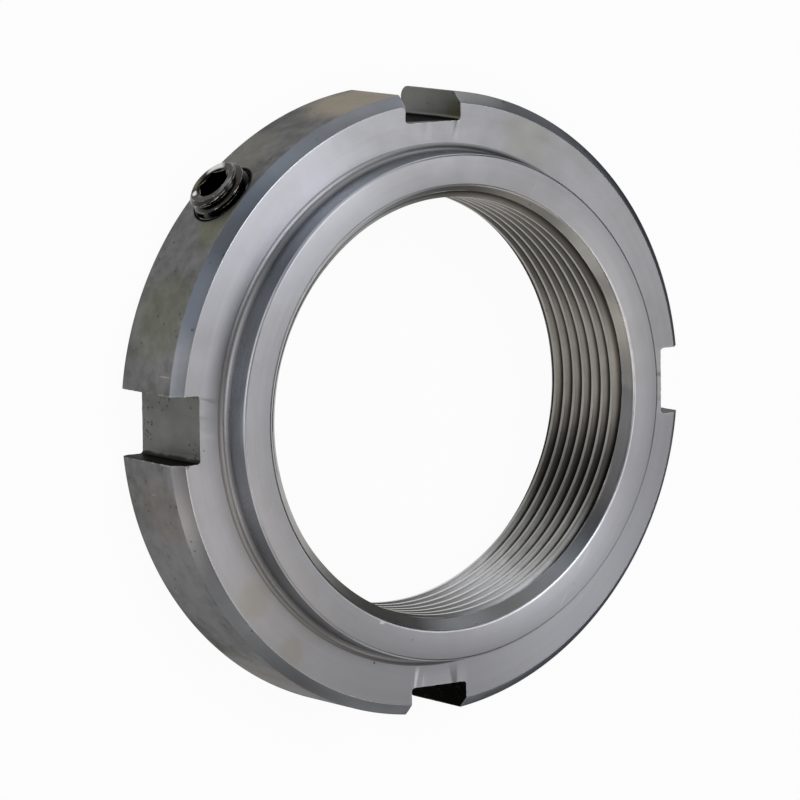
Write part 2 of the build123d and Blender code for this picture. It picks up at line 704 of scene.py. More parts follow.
def scratches_group() -> Tree:
    """Short fine scratches that all run about one way.

    Returns:
        The group's tree.
    """
    sketch, given = new_group("scratches", SHADER_TREE, "Mask", {
        "Turn": 0.6, "Fineness": 1500.0, "Length": 90.0, "Patch Scale": 120.0,
    })
    where = sketch.where()
    feeds = {"Vector": where, "Angle": given["Turn"]}
    turned = sketch.run("ShaderNodeVectorRotate", feeds, rotation_type="Z_AXIS")
    x, y, z = sketch.split(turned)
    drawn = sketch.vector(x * given["Fineness"], y * given["Length"], z * given["Length"])
    lines = sketch.remap(sketch.noise(drawn, 1.0, 1.0, 0.5), *SCRATCHES_FADE)
    patches = sketch.remap(sketch.noise(where, given["Patch Scale"], 1.0), *PATCHES_FADE)
    return sketch.give(Mask=lines * patches)


def stain_and_light_group() -> Tree:
    """One patch with a ragged edge, round or stretched about its centre, used for stains and for painted
    light and shade.

    Returns:
        The group's tree.
    """
    sketch, given = new_group("stain_and_light", SHADER_TREE, "Mask", {
        "Centre": "vector", "Squeeze": "vector", "Reach": 0.003, "Softness": 0.5, "Raggedness": 0.3,
        "Rag Scale": 450.0,
    })
    where = sketch.where()
    offset = sketch.vector_math("SUBTRACT", where, given["Centre"])
    offset = sketch.vector_math("MULTIPLY", offset, given["Squeeze"])
    stray = (sketch.noise(where, given["Rag Scale"], 4.0, 0.6) - 0.5) * given["Raggedness"]
    away = sketch.vector_math("LENGTH", offset) / given["Reach"] + stray
    return sketch.give(Mask=1.0 - sketch.remap(away, 1.0 - given["Softness"], 1.0))


@dataclass(frozen=True)
class StainAndPaintedLight:
    """One patch on a surface, used for stains and for painted light and shade: its centre and reach in
    millimetres, its colour and its strength.
    """

    centre: Colour
    reach: float
    colour: Colour
    share: float
    squeeze: Colour = (1.0, 1.0, 1.0)
    softness: float = 0.5
    raggedness: float = 0.3

    def lay(self, sketch: TreeSketch, group: Tree, tone: Flow) -> Flow:
        """Lay the patch over a colour.

        Args:
            sketch: The sketch of the material's tree.
            group: The shader group of a patch.
            tone: The colour below.

        Returns:
            The colour with the patch laid over it.
        """
        mask = sketch.run(
            "ShaderNodeGroup",
            {
                "Centre": Vector(self.centre) * MM,
                "Squeeze": self.squeeze,
                "Reach": self.reach * MM,
                "Softness": self.softness,
                "Raggedness": self.raggedness,
            },
            node_tree=group,
        )
        return sketch.mix(mask * self.share, tone, self.colour)


def around(angle: float, radius: float, height: float) -> Colour:
    """A place on the nut in millimetres, from its angle in degrees, its radius and its height."""
    return (radius * math.cos(math.radians(angle)), radius * math.sin(math.radians(angle)), height)


@dataclass(frozen=True)
class SteelFinish:
    """A machined or coated metal surface, with its marks, stains, patches of painted light and shade, pits,
    and edges made bright by wear and by a painted glint.
    """

    name: str
    colour: Colour
    tint: Colour
    roughness: float
    rings_per_metre: float = 9000.0
    ring_bump: float = 0.0
    ring_tone: float = 0.0
    mottle_share: float = 0.5
    cloud_scale: float = 60.0
    blotch_scale: float = 420.0
    pit_scale: float = 900.0
    pit_size: float = 0.12
    pit_spread: float = 0.62
    pit_tone: float = 0.5
    scratch_share: float = 0.0
    wear_and_glint_width: float = 0.0002
    wear_and_glint_colour: Colour = (0.85, 0.86, 0.88)
    wear_and_glint_share: float = 0.5
    grain_bump: float = 0.15
    grazing_tint: float = 1.0
    anisotropy: float = 0.0
    # Between which radii the colour darkens towards the groove shade colour: painted shade deep in a thread
    shaded_groove_radii: Point | None = None
    groove_shade_colour: Colour = (0.03, 0.028, 0.024)
    stains_and_painted_light: tuple[StainAndPaintedLight, ...] = ()

    def build(self, groups: dict[str, Tree]) -> Material:
        """Build the material.

        Args:
            groups: The shared shader groups by name.

        Returns:
            The material.
        """
        material = bpy.data.materials.new(self.name)
        material.use_nodes = True
        sketch = TreeSketch(material.node_tree)

        def use(name: str, **values: float) -> dict[str, Flow]:
            """Place a shared group with values of its own and return its outputs."""
            feeds = {label.replace("_", " ").title(): value for label, value in values.items()}
            return sketch.add("ShaderNodeGroup", feeds, node_tree=groups[name])

        where = sketch.where()
        marks = use("turning_marks", rings_per_metre=self.rings_per_metre)
        mottle = use("mottle", cloud_scale=self.cloud_scale, blotch_scale=self.blotch_scale)["Mask"]
        pits = use("pits", scale=self.pit_scale, size=self.pit_size, spread=self.pit_spread)["Mask"]
        # Edges made bright partly by wear, partly by a painted glint
        wear_and_glint_mask = use("edge_wear_and_glint", width=self.wear_and_glint_width)["Mask"] * self.wear_and_glint_share

        # Colour: mottled metal, streaked by the tool, darker towards a thread's roots as painted shade,
        # stained, with patches of painted light and shade, pitted, and bright along its edges from wear and
        # a painted glint
        stain = mottle * self.mottle_share
        tone = sketch.mix(stain, self.colour, self.tint)
        tones = (1.0 - self.ring_tone, 1.0 + self.ring_tone)
        streak = sketch.remap(marks["Streaks"], *STREAKS_FADE, *tones)
        tone = sketch.mix(1.0, tone, streak, "MULTIPLY")
        # Painted shade: darker towards the thread's roots
        if self.shaded_groove_radii:
            groove_shade = sketch.remap(sketch.off_axis(where), *(radius * MM for radius in self.shaded_groove_radii))
            tone = sketch.mix(groove_shade, tone, self.groove_shade_colour)
        for stain_and_light in self.stains_and_painted_light:
            tone = stain_and_light.lay(sketch, groups["stain_and_light"], tone)
        tone = sketch.mix(pits * self.pit_tone, tone, PIT_COLOUR)
        if self.scratch_share:
            wear_and_glint_mask = sketch.math("MAXIMUM", wear_and_glint_mask, use("scratches")["Mask"] * self.scratch_share)

        # Relief: the tool's rings, a fine grain and the pits
        grain = sketch.noise(where, GRAIN_SCALE, 2.0, 0.6)
        relief = marks["Height"] * self.ring_bump + grain * self.grain_bump + pits * PIT_RELIEF
        feeds = {"Strength": RELIEF_STRENGTH, "Distance": RELIEF_DEPTH, "Height": relief}
        bump = sketch.run("ShaderNodeBump", feeds)

        dull = stain * STAIN_DULLS + self.roughness + wear_and_glint_mask * WEAR_POLISHES
        feeds = {
            "Base Color": sketch.mix(wear_and_glint_mask, tone, self.wear_and_glint_colour),
            "Metallic": 1.0,
            "Roughness": sketch.math("MAXIMUM", dull, SMOOTHEST),
            "Specular Tint": (self.grazing_tint,) * 3,
            "Normal": bump,
        }
        if self.anisotropy:
            feeds["Anisotropic"] = self.anisotropy
            feeds["Anisotropic Rotation"] = ACROSS_THE_RINGS
            feeds["Tangent"] = sketch.run("ShaderNodeTangent", direction_type="RADIAL", axis="Z")
        shader = material.node_tree.nodes["Principled BSDF"]
        for label, value in feeds.items():
            sketch.feed(shader.inputs[label], value)
        return material


# Near-black painted shade for the gap round the set screw and the hollows of the slots
RECESS_SHADE = (0.0035, 0.0033, 0.003)
OLIVE = (0.15, 0.155, 0.075)
# A light brown: partly rust, partly painted light on the top of the outer edge
RUST_BROWN_PAINTED_LIGHT = (0.40, 0.35, 0.275)
FLAT = (1.0, 1.0, 0.4)
FINISHES = (
    SteelFinish(
        "turned_face", (0.515, 0.525, 0.551), (0.464, 0.458, 0.458), 0.34, ring_bump=0.12, ring_tone=0.03,
        scratch_share=0.35, pit_size=0.1, pit_spread=0.66, wear_and_glint_share=0.3, anisotropy=0.7,
        stains_and_painted_light=(
            StainAndPaintedLight(around(218, 35.5, 12.9), 3.2, (0.40, 0.38, 0.27), 0.30),
            StainAndPaintedLight(around(232, 36.8, 12.9), 2.4, (0.38, 0.36, 0.25), 0.28),
            StainAndPaintedLight(around(66, 36.0, 12.9), 5.0, (0.42, 0.42, 0.34), 0.30),
            StainAndPaintedLight((-11.7, -25.9, 17.2), 0.3, (0.95, 0.95, 0.97), 0.8, (0.5, 1.0, 1.0), 0.6, 0.7),
            StainAndPaintedLight((-12.6, -29.2, 17.2), 0.2, (0.9, 0.9, 0.92), 0.7, (0.5, 1.0, 1.0), 0.6, 0.5),
            StainAndPaintedLight((-7.1, -28.6, 17.2), 0.2, (0.2, 0.2, 0.2), 0.5, softness=0.6, raggedness=1.2),
            StainAndPaintedLight((-10.0, -31.8, 12.9), 0.22, (0.12, 0.12, 0.12), 0.8, raggedness=0.5),
        ),
    ),
    SteelFinish(
        "dull_edge", (0.21, 0.21, 0.215), (0.115, 0.114, 0.107), 0.5, ring_bump=0.08, ring_tone=0.02,
        mottle_share=1.0, cloud_scale=90.0, blotch_scale=520.0, pit_size=0.24, pit_spread=0.55,
        pit_tone=0.4, scratch_share=0.5, wear_and_glint_width=0.0003, wear_and_glint_share=0.35, grain_bump=0.9,
        grazing_tint=0.5,
        stains_and_painted_light=(
            # Lighter brown over the top of the outer edge: partly rust, partly painted light where light
            # falls on it
            StainAndPaintedLight(around(101, 39.5, 8.0), 9.0, RUST_BROWN_PAINTED_LIGHT, 0.75),
            StainAndPaintedLight(around(238, 39.5, 6.0), 8.0, (0.30, 0.29, 0.28), 0.6),
            StainAndPaintedLight(around(141, 39.5, 10.0), 4.2, OLIVE, 0.45),
            StainAndPaintedLight(around(124, 39.5, 4.0), 6.0, (0.25, 0.243, 0.206), 0.4),
            StainAndPaintedLight(around(160, 39.5, 7.0), 7.0, (0.198, 0.206, 0.14), 0.35),
            StainAndPaintedLight(around(196, 39.5, 8.0), 6.0, (0.206, 0.184, 0.162), 0.4),
            # Painted shade: a near-black ring round the radial hole's mouth, where the gap round the screw
            # lies in shadow
            StainAndPaintedLight(around(134.5, 39.5, 6.6), 4.62, RECESS_SHADE, 1.0, softness=0.06, raggedness=0.05),
        ),
    ),
    SteelFinish(
        "turned_chamfer", (0.214, 0.221, 0.234), (0.168, 0.173, 0.183), 0.3, ring_bump=0.2, ring_tone=0.1,
        pit_size=0.2, pit_spread=0.56, wear_and_glint_share=0.25, grazing_tint=0.15,
        stains_and_painted_light=(
            # Painted light and shade round the chamfer: lighter at the top and the left, darker and bluer
            # between them
            StainAndPaintedLight(around(124, 38.8, 12.2), 10.0, (0.15, 0.17, 0.19), 0.5),
            StainAndPaintedLight(around(154, 38.8, 12.2), 9.0, (0.11, 0.13, 0.165), 0.7),
            StainAndPaintedLight(around(192, 38.8, 12.2), 8.0, (0.27, 0.265, 0.27), 0.8),
            StainAndPaintedLight(around(84, 38.8, 12.2), 9.0, (0.33, 0.33, 0.325), 0.8),
        ),
    ),
    SteelFinish(
        "turned_collar", (0.306, 0.319, 0.348), (0.246, 0.259, 0.289), 0.26, ring_bump=0.2, ring_tone=0.05,
        wear_and_glint_share=0.2,
    ),
    SteelFinish(
        "collar_rim", (0.45, 0.46, 0.49), (0.38, 0.385, 0.40), 0.28, ring_bump=0.1, ring_tone=0.02,
        wear_and_glint_share=0.3, grazing_tint=0.12,
    ),
    # A lighter copy of the steel on the rounded lips: a painted highlight
    SteelFinish(
        "bright_lip", (0.66, 0.665, 0.69), (0.50, 0.505, 0.525), 0.26, mottle_share=0.8, blotch_scale=700.0,
        pit_tone=0.0, wear_and_glint_share=0.0, grain_bump=0.0, grazing_tint=0.15,
    ),
    SteelFinish(
        "turned_foot", (0.27, 0.27, 0.275), (0.23, 0.23, 0.235), 0.34, ring_bump=0.1, ring_tone=0.03,
        wear_and_glint_share=0.0,
    ),
    SteelFinish(
        "cut_thread", (0.326, 0.32, 0.299), (0.21, 0.20, 0.179), 0.32, rings_per_metre=14000.0,
        # Painted shade deep in the thread, darker towards its roots
        ring_bump=0.25, ring_tone=0.08, wear_and_glint_share=0.2, wear_and_glint_width=0.00015, shaded_groove_radii=(26.55, 27.3),
        groove_shade_colour=(0.04, 0.038, 0.034),
        stains_and_painted_light=(
            # Painted shade on the right of the thread, darkest at its lower right, and a painted highlight
            # at its bottom
            StainAndPaintedLight(around(35, 26.6, 8.0), 26.0, (0.15, 0.145, 0.135), 0.22, FLAT, 0.7),
            StainAndPaintedLight(around(282, 26.6, 8.0), 15.0, (0.62, 0.61, 0.60), 0.8, FLAT, 0.8),
            StainAndPaintedLight(around(335, 26.6, 8.0), 9.5, (0.03, 0.024, 0.02), 0.5, FLAT, 0.9),
        ),
    ),
    SteelFinish(
        "turned_mouth", (0.377, 0.373, 0.353), (0.312, 0.307, 0.287), 0.28, ring_bump=0.25, ring_tone=0.04,
        wear_and_glint_share=0.3, pit_spread=0.56,
        stains_and_painted_light=(
            # Painted shade over the right and lower part of the bore's mouth
            StainAndPaintedLight(around(308, 27.3, 16.4), 25.2, (0.16, 0.16, 0.17), 0.6, softness=0.08, raggedness=0.1),
        ),
    ),
    SteelFinish(
        "milled_slot", (0.17, 0.17, 0.165), (0.13, 0.129, 0.124), 0.42, mottle_share=0.8,
        blotch_scale=300.0, pit_scale=1500.0, pit_size=0.32, pit_spread=0.53, pit_tone=0.75,
        grain_bump=0.4, wear_and_glint_share=0.15, grazing_tint=0.5,
        stains_and_painted_light=(
            # Painted shade along the lower wall of the left slot
            StainAndPaintedLight((-37.6, -4.3, 6.0), 0.8, RECESS_SHADE, 0.85, (0.25, 1.0, 0.04), 0.3, 0.5),
            StainAndPaintedLight((-36.0, 4.0, 12.0), 3.0, (0.12, 0.12, 0.10), 0.4),
            StainAndPaintedLight((4.3, 36.0, 12.0), 3.0, (0.13, 0.13, 0.065), 0.6),
            # Painted shade along the floor of the top slot
            StainAndPaintedLight((0.0, 35.6, 6.5), 0.5, RECESS_SHADE, 0.95, (0.06, 1.0, 0.04), 0.3),
            StainAndPaintedLight((-2.5, 35.7, 12.9), 2.2, (0.38, 0.375, 0.37), 0.85, (0.35, 1.0, 1.0), 0.4, 0.6),
            # Painted shade over the walls and floor of the bottom slot
            StainAndPaintedLight((2.0, -38.0, 6.5), 3.6, RECESS_SHADE, 1.0, (0.5, 1.0, 0.15), 0.15),
        ),
    ),
    # Near-black: painted shade inside the radial hole and its countersink
    SteelFinish(
        "drilled_hole_painted_shade", (0.02, 0.019, 0.018), (0.012, 0.011, 0.011), 0.4, ring_bump=0.25, ring_tone=0.08,
        wear_and_glint_share=0.0,
    ),
    SteelFinish(
        "black_oxide", (0.028, 0.027, 0.026), (0.075, 0.066, 0.055), 0.2, mottle_share=0.6,
        cloud_scale=260.0, wear_and_glint_colour=(0.7, 0.68, 0.64), wear_and_glint_width=0.00018, wear_and_glint_share=0.6,
        pit_spread=0.9, grain_bump=0.25,
        stains_and_painted_light=(
            # A painted highlight on the upper part of the screw's end
            StainAndPaintedLight((-27.75, 31.05, 5.35), 1.6, (0.6, 0.595, 0.59), 1.0, softness=0.45),
            StainAndPaintedLight((-29.55, 29.3, 4.5), 1.1, (0.13, 0.105, 0.055), 0.8, raggedness=0.6),
            # A painted highlight on the lower left of the screw's end
            StainAndPaintedLight((-30.6, 28.25, 5.0), 0.55, (0.8, 0.77, 0.73), 0.9, raggedness=0.5),
            StainAndPaintedLight((-29.3, 29.9, 9.6), 1.3, (0.16, 0.155, 0.15), 0.6, raggedness=0.5),
            # Painted shade on the screw below the outer edge, inside the hole
            StainAndPaintedLight(around(134.5, 38.2, 6.6), 4.27, RECESS_SHADE, 1.0, softness=0.06, raggedness=0.04),
        ),
    ),
    SteelFinish(
        "drawn_brass", (0.62, 0.44, 0.17), (0.45, 0.30, 0.11), 0.32, wear_and_glint_colour=(0.9, 0.75, 0.42),
    ),
)


@dataclass
class LockDevice:
    """Where the radial hole runs, and the sizes that its screw and its pad share with it."""

    outer_radius: float
    angle: float = math.radians(134.5)
    height: float = 6.6 * MM
    screw_radius: float = 4.0 * MM
    thread_allowance: float = 0.07 * MM
    pad_radius: float = 3.25 * MM
    clearance: float = 0.05 * MM
    countersink: float = 0.2 * MM
    protrusion: float = 2.1 * MM
    pad_length: float = 5.18 * MM
    spare_depth: float = 1.75 * MM

    def placement(self) -> Matrix:
        """The matrix that stands a piece drawn along +Z on the outer radius, pointing outwards."""
        outward = Vector((math.cos(self.angle), math.sin(self.angle), 0.0))
        up = Vector((0.0, 0.0, 1.0))
        turned = Matrix((up, outward.cross(up), outward)).transposed()
        return Matrix.Translation(outward * self.outer_radius + up * self.height) @ turned.to_4x4()


@dataclass
class NutBody:
    """The turned nut: blank, collar, threaded bore, spanner slots and radial hole."""

    device: LockDevice
    thread: ThreadForm
    outer_radius: float
    thickness: float
    slot_count: int = 4
    slot_width: float = 8.5 * MM
    slot_depth: float = 3.8 * MM
    slot_corner: float = 0.45 * MM
    chamfer: float = 1.4 * MM
    front_edge_radius: float = 0.16 * MM
    back_edge_radius: float = 1.5 * MM
    collar_face_width: float = 3.9 * MM
    collar_height: float = 4.3 * MM
    collar_foot_radius: float = 1.1 * MM
    collar_edge_radius: float = 0.35 * MM
    mouth_allowance: float = 0.6 * MM
    mouth_edge_radius: float = 0.5 * MM
    lip_bevel: float = 0.08 * MM
    burr_height: float = 0.05 * MM
    burr_spacing: float = 0.35 * MM
    burr_seed: int = 7
    columns: int = 288
    hole_columns: int = 72
    rows: int = 16

    @property
    def mouth_radius(self) -> float:
        """The radius of the bore's mouths at the faces."""
        return self.thread.root_radius + self.mouth_allowance

    @property
    def mouth_drop(self) -> float:
        """How far below the face a mouth's rounded edge ends."""
        return self.mouth_edge_radius * math.tan(math.pi / 8) * math.sin(math.pi / 4)

    def section(self) -> list[Band]:
        """The blank's outline from the bore's back mouth round the outside to its front mouth.

        Returns:
            Radius, height and the finish of the band that starts there.
        """
        mouth = self.mouth_radius
        collar = mouth + self.collar_face_width
        outer = self.outer_radius
        top = self.thickness
        flange = top - self.collar_height
        inside = self.thread.crest_radius
        depth = mouth - inside
        back, foot, edge = self.back_edge_radius, self.collar_foot_radius, self.collar_edge_radius
        below, within = (outer, flange - self.chamfer), (outer - self.chamfer, flange)
        front, lip = self.front_edge_radius, self.mouth_edge_radius
        runs = (
            (rounded_corner((inside, depth), (mouth, 0.0), (collar, 0.0), lip), Zone.MOUTH, Zone.FACE),
            (arc((outer - back, back), back, -90, 0, 10), Zone.EDGE, Zone.EDGE),
            (rounded_corner((outer, back), below, within, front), Zone.EDGE, Zone.CHAMFER),
            (rounded_corner(below, within, (collar, flange), front), Zone.LIP, Zone.FACE),
            (arc((collar + foot, flange + foot), foot, 270, 180, 12), Zone.FOOT, Zone.COLLAR),
            (arc((collar - edge, top - edge), edge, 0, 90, 6), Zone.RIM, Zone.FACE),
            (rounded_corner((collar, top), (mouth, top), (inside, top - depth), lip), Zone.LIP, Zone.MOUTH),
        )

        # The last point of a run starts the band that leads to the next one
        outline: list[Band] = []
        for points, finish, last in runs:
            finishes = [finish] * (len(points) - 1) + [last]
            outline += [(*point, zone.slot) for point, zone in zip(points, finishes)]
        return outline

    def slot_cutter(self) -> Builder:
        """A bar with rounded edges that mills one slot, drawn at the origin along +Z."""
        cutter = bmesh.new()
        corner = self.slot_corner
        outline: list[Point] = []
        for x_side, y_side, start in ((1, 1, 0), (-1, 1, 90), (-1, -1, 180), (1, -1, 270)):
            centre = (x_side * (self.slot_depth - corner), y_side * (self.slot_width / 2 - corner))
            outline += arc(centre, corner, start, start + 90, 5)
        spare = self.thickness / 4
        rings = [
            [cutter.verts.new((x, y, height)) for x, y in outline]
            for height in (-spare, self.thickness + spare)
        ]
        loft(cutter, rings)
        for ring in rings:
            cutter.faces.new(ring)
        seal(cutter)
        return cutter

    def hole_cutter(self) -> Builder:
        """The stepped and countersunk drill of the radial hole, in its place in the nut."""
        device = self.device
        tapped = device.screw_radius + device.clearance
        guide = device.pad_radius + device.clearance
        wall = self.outer_radius - self.thread.crest_radius
        step = wall - device.pad_length + device.spare_depth
        mouth = tapped + device.countersink
        spare = 4 * device.countersink
        levels = (
            (guide, -wall - spare), (guide, -step), (tapped, -step), (tapped, -device.countersink),
            (mouth, 0.0), (mouth, spare),
        )
        cutter = turned_plug(levels, self.hole_columns)
        seal(cutter)
        cutter.transform(device.placement())
        return cutter

    def blank(self, tree: Tree, finishes: dict[str, Material]) -> Mesh:
        """Turn the blank round its threaded bore.

        Args:
            tree: The geometry tree of a threaded wall.
            finishes: The materials by name.

        Returns:
            The blank, without slots and radial hole.
        """
        drop = self.mouth_drop
        radius = self.mouth_radius - drop
        inputs = self.thread.inputs(drop, self.thickness - drop, self.columns, self.rows) | {
            "Bottom Mouth Radius": radius,
            "Top Mouth Radius": radius,
            "Mouth Height": radius - self.thread.crest_radius,
            "Finish": finishes[Zone.THREAD.value],
        }
        wall = grow("bore_wall", tree, inputs)
        blank = bmesh.new()
        blank.from_mesh(wall)
        blank.transform(Matrix.Rotation(self.thread.start, 4, "Z"))
        for face in blank.faces:
            centre = face.calc_center_median()
            inset = min(centre.z, self.thickness - centre.z)
            off_cone = abs(centre.xy.length - (self.mouth_radius - inset))
            face.material_index = (Zone.MOUTH if off_cone < CONE_TOLERANCE else Zone.THREAD).slot
        turn_profile(blank, self.section(), self.columns)
        seal(blank)
        return as_mesh("nut_blank", blank, (finishes[zone.value] for zone in Zone))

    def build(self, trees: dict[str, Tree], finishes: dict[str, Material]) -> Piece:
        """Turn, thread, slot and drill the nut.

        Args:
            trees: The geometry trees by name.
            finishes: The materials by name.

        Returns:
            The finished piece.
        """
        cutters = [
            bpy.data.objects.new(name, as_mesh(name, builder, [finishes[finish]]))
            for name, builder, finish in (
                ("slot_cutter", self.slot_cutter(), "milled_slot"),
                ("hole_cutter", self.hole_cutter(), "drilled_hole_painted_shade"),
            )
        ]
        values = {
            "Slot Cutter": cutters[0], "Hole Cutter": cutters[1], "Count": self.slot_count,
            "Radius": self.outer_radius,
        }
        blank = self.blank(trees["threaded_wall"], finishes)
        mesh = grow("nut_steel_body", trees["polar_cut"], values, blank)
        for cutter in cutters:
            bpy.data.objects.remove(cutter)
        self.ease_lips(mesh, mesh.materials.find("milled_slot"))
        return place("nut_steel_body", mesh)

    def ease_lips(self, mesh: Mesh, slot_finish: int) -> None:
        """Round the lips of the slots a little and leave the burrs of the milling on them.

        Args:
            mesh: The nut's mesh, which is changed.
            slot_finish: The number of the finish of the slots' walls.
        """
        builder = bmesh.new()
        builder.from_mesh(mesh)

        def lips() -> list[bmesh.types.BMEdge]:
            """The edges between a slot's wall and another surface."""
            return [
                edge
                for edge in builder.edges
                if len(edge.link_faces) == 2
                and sum(face.material_index == slot_finish for face in edge.link_faces) == 1
            ]

        for edge in lips():
            cuts = int(edge.calc_length() / self.burr_spacing)
            if cuts:
                bmesh.ops.subdivide_edges(builder, edges=[edge], cuts=cuts)
        bevel = bmesh.ops.bevel(
            builder, geom=lips(), offset=self.lip_bevel, segments=2, profile=0.5, affect="EDGES",
            clamp_overlap=True, material=-1,
        )

        # A burr never leaves the plane of a face that it borders, so that the face stays flat. Blender
        # seeds its noise by the clock, so that a seed is set for the burrs to be the same in each run
        noise.seed_set(self.burr_seed)
        limit = self.outer_radius - self.lip_bevel / 2
        strip = set(bevel["faces"])
        builder.normal_update()
        flats = {
            vert: [face.normal.copy() for face in vert.link_faces if face not in strip]
            for vert in bevel["verts"]
        }
        for vert, normals in flats.items():
            shift = noise.noise_vector(vert.co / self.burr_spacing) * self.burr_height
            for normal in normals:
                shift -= shift.dot(normal) * normal
            spot = vert.co + shift
            across = spot.xy
            if across.length > limit:
                across *= limit / across.length
            vert.co = (*across, min(max(spot.z, 0.0), self.thickness))
        builder.to_mesh(mesh)
        builder.free()


@dataclass
class SetScrew:
    """The black set screw with its hexagon socket."""

    device: LockDevice
    thread: ThreadForm
    length: float
    socket_across_flats: float = 4.0 * MM
    socket_depth: float = 4.5 * MM
    socket_drill_depth: float = 1.1 * MM
    socket_mouth_radius: float = 2.52 * MM
    socket_mouth_angle: float = math.radians(30.0)
    socket_turn: float = math.radians(20.0)
    point_chamfer: float = 1.25 * MM
    end_chamfer: float = 0.68 * MM
    tip: float = 0.02
    mouth_spare: float = 1.3
    columns: int = 96
    mouth_columns: int = 48
    rows: int = 16

    def socket_cutter(self) -> Builder:
        """The broach of the hexagon with the cone of the drill that went before it."""
        flat = self.socket_across_flats / 2
        corner = flat / math.cos(math.pi / 6)
        top = self.device.protrusion
        floor = top - self.socket_depth
        drilled = floor - self.socket_drill_depth
        levels = ((flat * self.tip, drilled), (flat, floor), (corner, floor), (corner, top + flat))
        builder = turned_plug(levels, HEXAGON)
        builder.transform(Matrix.Rotation(self.socket_turn, 4, "Z"))
        return builder

    def mouth_cutter(self) -> Builder:
        """The countersink of the socket's mouth, which scallops the hexagon's flats."""
        radius, top = self.socket_mouth_radius, self.device.protrusion
        rise = math.tan(self.socket_mouth_angle)
        shares = (self.tip, 1.0, self.mouth_spare)
        levels = ((radius * share, top + radius * (share - 1.0) * rise) for share in shares)
        return turned_plug(levels, self.mouth_columns)

    def build(self, trees: dict[str, Tree], finishes: dict[str, Material]) -> Piece:
        """Thread the screw, cap it, broach its socket and set it in the radial hole.

        Args:
            trees: The geometry trees by name.
            finishes: The materials by name.

        Returns:
            The finished piece.
        """
        top = self.device.protrusion
        finish = finishes["black_oxide"]
        nominal = self.thread.nominal_radius
        inputs = self.thread.inputs(top - self.length, top, self.columns, self.rows) | {
            "Bottom Mouth Radius": nominal - self.point_chamfer,
            "Top Mouth Radius": nominal - self.end_chamfer,
            "Mouth Height": self.end_chamfer,
            "Finish": finish,
        }
        builder = bmesh.new()
        builder.from_mesh(grow("screw_shank", trees["threaded_wall"], inputs))
        bmesh.ops.holes_fill(builder, edges=[edge for edge in builder.edges if edge.is_boundary], sides=0)
        seal(builder)
        mesh = as_mesh("screw_blank", builder, [finish])
        for cutter in (self.socket_cutter(), self.mouth_cutter()):
            seal(cutter)
            mesh = carve("screw_steel", mesh, as_mesh("screw_cutter", cutter, [finish]))
        mesh.transform(self.device.placement())
        return place("screw_steel", mesh)


@dataclass
class ClampingPad:
    """The brass pad under the screw, whose tip carries the bore's thread."""

    device: LockDevice
    thread: ThreadForm
    thread_start: float
    chamfer: float = 0.4 * MM
    columns: int = 64
    rings: int = 24
    trials: int = 3

    def tip_depth(self, along: float, aside: float) -> float:
        """How far in from the outer radius the bore's wall lies under a point of the pad's section.

        Args:
            along: The point's place along the nut's axis, from the pad's own axis.
            aside: The point's place across the nut's axis.

        Returns:
            The depth, in metres.
        """
        rise = self.device.height + along - self.thread_start
        depth = self.device.outer_radius - self.thread.crest_radius
        for _ in range(self.trials):
            angle = self.device.angle - math.atan2(aside, self.device.outer_radius - depth)
            radius = self.thread.radius_at(angle, rise)
            depth = self.device.outer_radius - math.sqrt(radius**2 - aside**2)
        return depth

    def build(self, finishes: dict[str, Material]) -> Piece:
        """Turn the plug and cut the thread across its tip.

        Args:
            finishes: The materials by name.

        Returns:
            The finished piece.
        """
        radius = self.device.pad_radius
        top = self.device.pad_length - (self.device.outer_radius - self.thread.crest_radius)
        builder = bmesh.new()
        angles = [math.tau * column / self.columns for column in range(self.columns)]

        def ring(share: float, height: Callable[[float, float], float]) -> list[Vert]:
            """A ring of points at a share of the pad's radius and at a height of its own."""
            spots = ((share * radius * math.cos(a), share * radius * math.sin(a)) for a in angles)
            return [builder.verts.new((x, y, height(x, y))) for x, y in spots]

        def tip(x: float, y: float) -> float:
            """The height of the threaded tip under a point."""
            return -self.tip_depth(x, y)

        rings = [ring((index + 1) / self.rings, tip) for index in range(self.rings)]
        rings.append(ring(1.0, lambda x, y: top - self.chamfer))
        rings.append(ring(1.0 - self.chamfer / radius, lambda x, y: top))
        loft(builder, rings)
        heart = builder.verts.new((0.0, 0.0, tip(0.0, 0.0)))
        for here, after in zip(rings[0], rings[0][1:] + rings[0][:1]):
            builder.faces.new((heart, after, here))
        builder.faces.new(rings[-1])
        seal(builder)
        mesh = as_mesh("pad_brass_plug", builder, [finishes["drawn_brass"]])
        mesh.transform(self.device.placement())
        return place("pad_brass_plug", mesh)


@dataclass(frozen=True)
class Panel:
    """A round soft panel of light on the dome, by its azimuth and height in degrees and its colour."""

    az: float
    up: float
    colour: Colour

    def direction(self) -> Vector:
        """Where the panel stands, as seen from the nut."""
        level = math.cos(math.radians(self.up))
        turn = math.radians(self.az)
        return Vector((level * math.cos(turn), level * math.sin(turn), math.sin(math.radians(self.up))))


@dataclass(frozen=True)
class Lamp:
    """A soft square lamp near the nut: its place, the length of its side and its power in watts."""

    name: str
    place_at: Colour
    size: float
    power: float


